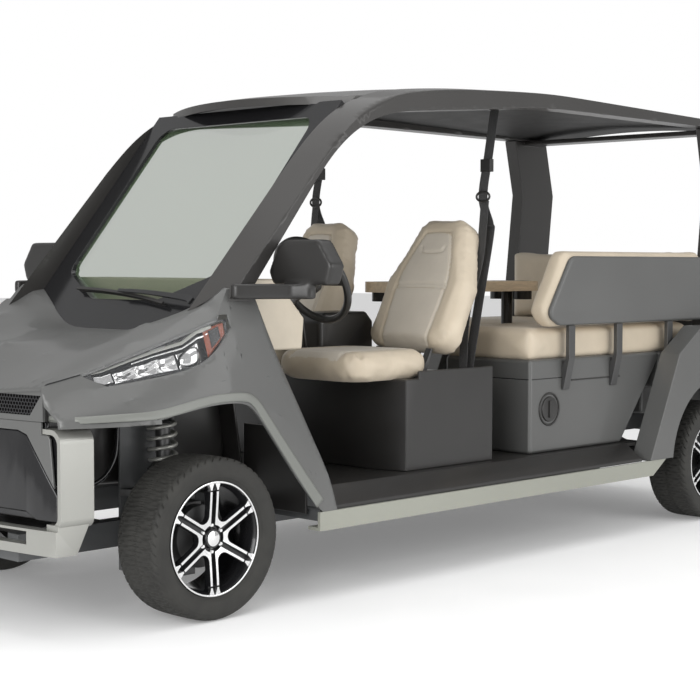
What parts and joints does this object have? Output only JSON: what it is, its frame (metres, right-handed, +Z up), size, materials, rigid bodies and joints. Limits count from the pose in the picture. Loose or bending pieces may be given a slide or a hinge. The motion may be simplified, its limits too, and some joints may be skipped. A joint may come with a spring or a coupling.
{
  "type": "golf cart",
  "caption": "Electric golf cart with a roof, windscreen, a front pair of bucket seats, an L-shaped rear lounge with a table, wheels that roll and front wheels that steer.",
  "frame": {"origin": "on the ground under the middle of the whole cart", "axes": "+X to the cart's left, +Y to the rear, +Z up"},
  "size_m": [1.7974, 4.2449, 1.9299],
  "materials": {
    "body_paint": "metallic clear-coated dark grey paint",
    "roof_paint": "metallic clear-coated charcoal paint",
    "flare_paint": "metallic clear-coated silver grey paint",
    "rocker_paint": "satin silver paint",
    "bumper_silver": "bright silver paint",
    "black_plastic": "grained black moulding",
    "gloss_black": "gloss black moulding",
    "cream_vinyl": "soft-grained cream vinyl",
    "cream_panel": "smooth cream moulding",
    "glass": "clear pale green pane",
    "clear_lens": "clear lamp cover",
    "tyre": "black rubber",
    "wheel_silver": "machined bright alloy",
    "wheel_black": "gloss black paint",
    "chrome": "polished",
    "steel_dark": "satin dark steel",
    "frame_paint": "satin grey chassis paint",
    "cast_grey": "cast and painted",
    "wood": "light wood with a clear satin finish",
    "belt_webbing": "woven black webbing",
    "mirror": "silvered glass",
    "red_lens": "clear red lamp cover",
    "amber_lens": "clear amber lamp cover",
    "brass": "plain bright fastener"
  },
  "bodies": {
    "chassis": {"backrest_brackets": "steel_dark", "backrest_shell": "black_plastic", "battery_pack": "black_plastic", "brake_lever": "black_plastic", "cab_frame_left": "roof_paint", "cab_frame_right": "roof_paint", "centre_console": "black_plastic", "chassis_frame": "frame_paint", "cup_holders": "black_plastic", "dashboard": "cream_panel", "fascia_surround": "body_paint", "floor_pan": "black_plastic", "front_bumper": "bumper_silver", "front_fascia": "gloss_black", "front_fender_left": "flare_paint", "front_fender_right": "flare_paint", "front_seats": "cream_vinyl", "front_suspension": "steel_dark", "grille": "black_plastic", "headlamps": "clear_lens", "hood": "body_paint", "leaf_springs": "steel_dark", "lounge_backrests": "cream_vinyl", "lounge_base": "body_paint", "lounge_cushions": "cream_vinyl", "mirrors": "gloss_black", "nose_panel": "body_paint", "rear_axle": "cast_grey", "rear_body": "body_paint", "rear_bumper": "bumper_silver", "rear_fender_left": "body_paint", "rear_fender_right": "body_paint", "rear_pillars": "roof_paint", "rockers": "rocker_paint", "roof_panel": "roof_paint", "seat_base": "black_plastic", "seat_belts": "belt_webbing", "seat_brackets": "steel_dark", "steering_column": "black_plastic", "table": "wood", "table_supports": "black_plastic", "tail_lamps": "red_lens", "windscreen_frame": "gloss_black", "windscreen_glass": "glass"},
    "knuckle_left": {"knuckle_left": "cast_grey"},
    "knuckle_right": {"knuckle_right": "cast_grey"},
    "steering_wheel": {"steering_wheel": "black_plastic"},
    "wheel_front_left": {"tyre_front_left": "tyre", "rim_front_left": "wheel_silver"},
    "wheel_front_right": {"tyre_front_right": "tyre", "rim_front_right": "wheel_silver"},
    "wheel_rear_left": {"tyre_rear_left": "tyre", "rim_rear_left": "wheel_silver"},
    "wheel_rear_right": {"tyre_rear_right": "tyre", "rim_rear_right": "wheel_silver"}
  },
  "joints": [
    {"name": "steer_left", "type": "hinge", "parent": "chassis", "child": "knuckle_left", "pos_m": [0.54, -1.5075, 0.2725], "axis": [0, 0, 1], "range_deg": [-28, 28]},
    {"name": "steer_right", "type": "hinge", "parent": "chassis", "child": "knuckle_right", "pos_m": [-0.54, -1.5075, 0.2725], "axis": [0, 0, 1], "range_deg": [-28, 28]},
    {"name": "steering_wheel_turn", "type": "hinge", "parent": "chassis", "child": "steering_wheel", "pos_m": [0.346, -0.7195, 1.119], "axis": [0, 0.8746, 0.4848], "range_deg": [-340, 340]},
    {"name": "roll_front_left", "type": "hinge", "parent": "knuckle_left", "child": "wheel_front_left", "pos_m": [0.612, -1.5075, 0.2725], "axis": [1, 0, 0], "continuous": true},
    {"name": "roll_front_right", "type": "hinge", "parent": "knuckle_right", "child": "wheel_front_right", "pos_m": [-0.612, -1.5075, 0.2725], "axis": [1, 0, 0], "continuous": true},
    {"name": "roll_rear_left", "type": "hinge", "parent": "chassis", "child": "wheel_rear_left", "pos_m": [0.638, 1.5325, 0.2725], "axis": [1, 0, 0], "continuous": true},
    {"name": "roll_rear_right", "type": "hinge", "parent": "chassis", "child": "wheel_rear_right", "pos_m": [-0.638, 1.5325, 0.2725], "axis": [1, 0, 0], "continuous": true}
  ],
  "couplings": [
    {"joint": "steer_right", "follows": "steer_left", "ratio": 1},
    {"joint": "steering_wheel_turn", "follows": "steer_left", "ratio": 12}
  ]
}
